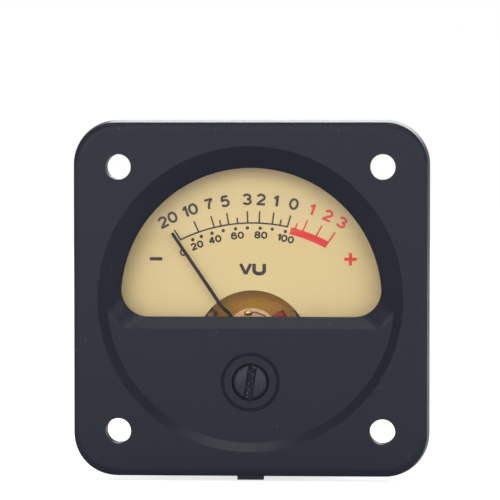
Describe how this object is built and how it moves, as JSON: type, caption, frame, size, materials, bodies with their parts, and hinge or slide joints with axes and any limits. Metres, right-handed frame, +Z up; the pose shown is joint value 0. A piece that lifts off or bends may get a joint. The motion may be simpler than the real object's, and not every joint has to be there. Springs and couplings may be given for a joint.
{
  "type": "analog vu meter",
  "caption": "Square-flanged panel level meter with a round barrel, printed dial, moving-coil pointer, slotted zero adjuster and rear screw terminals.",
  "frame": {"origin": "centre of the flange's rear face, on the barrel's axis and at the middle of the four mounting holes", "axes": "+Z up the dial, +X right across the dial, +Y from the viewer into the panel along the barrel"},
  "size_m": [0.045, 0.0359, 0.0452],
  "materials": {
    "housing_plastic": "satin dark blue-grey moulded plastic",
    "case_plastic": "matte black moulded plastic",
    "clear_pane": "clear acrylic",
    "dial_paint": "matte cream paint with a printed scale",
    "frame_plastic": "matte dark moulded plastic",
    "yoke_iron": "lacquered soft iron, brown",
    "magnet": "ground sintered magnet",
    "brass": "turned and stamped brass",
    "lever_brass": "stamped brass, lacquered",
    "bright_steel": "plated steel",
    "tinned_metal": "tinned, slightly dull",
    "weight_metal": "tinned brass",
    "dark_metal": "blackened wire",
    "jewel_glass": "polished synthetic stone",
    "board_laminate": "paper laminate",
    "diode_glass": "glass-bodied, glossy",
    "resistor_body": "lacquered, glossy",
    "copper": "enamelled copper wire",
    "aluminium": "thin bright sheet",
    "screw_plastic": "satin dark moulded plastic",
    "pointer_paint": "matte black paint on thin aluminium",
    "spring_bronze": "thin polished bronze strip"
  },
  "bodies": {
    "housing": {"front_cover": "housing_plastic", "rear_case": "case_plastic", "window_pane": "clear_pane", "case_screws": "bright_steel", "dial_plate": "dial_paint", "dial_screws": "bright_steel", "movement_frame": "frame_plastic", "frame_screws": "bright_steel", "yoke_ring": "yoke_iron", "core_magnet": "magnet", "core_supports": "brass", "front_bridge": "brass", "rear_bridge": "brass", "bridge_screws": "bright_steel", "front_jewel_screw": "brass", "rear_jewel_screw": "brass", "front_jewel": "jewel_glass", "rear_jewel": "jewel_glass", "front_lock_nut": "brass", "rear_lock_nut": "brass", "rear_spring_anchor": "brass", "pointer_stops": "dark_metal", "circuit_board": "board_laminate", "diodes": "diode_glass", "series_resistor": "resistor_body", "signal_leads": "copper", "terminal_studs": "brass", "terminal_nuts": "bright_steel", "terminal_washers": "bright_steel", "solder_lugs": "tinned_metal"},
    "zero_screw": {"zero_screw": "screw_plastic", "zero_screw_clip": "bright_steel"},
    "zero_lever": {"zero_lever": "lever_brass"},
    "pointer": {"pointer": "pointer_paint", "balance_weights": "weight_metal", "coil_former": "aluminium", "coil_winding": "copper", "front_pivot": "bright_steel", "rear_pivot": "bright_steel", "front_hairspring": "spring_bronze", "rear_hairspring": "spring_bronze"}
  },
  "joints": [
    {"name": "zero_adjust", "type": "hinge", "parent": "housing", "child": "zero_screw", "pos_m": [0, 0, -0.01045], "axis": [0, 1, 0], "range_deg": [-30, 30]},
    {"name": "zero_lever_swing", "type": "hinge", "parent": "housing", "child": "zero_lever", "pos_m": [0, 0, -0.0068], "axis": [0, 1, 0], "range_deg": [-5.6, 5.6]},
    {"name": "pointer_swing", "type": "hinge", "parent": "zero_lever", "child": "pointer", "pos_m": [0, 0, -0.0068], "axis": [0, 1, 0], "range_deg": [-3.5, 72], "stiffness_Nm_per_rad": 0.00001, "deforming": ["front_hairspring", "rear_hairspring"]}
  ],
  "couplings": [
    {"joint": "zero_lever_swing", "follows": "zero_adjust", "ratio": 0.1798}
  ]
}
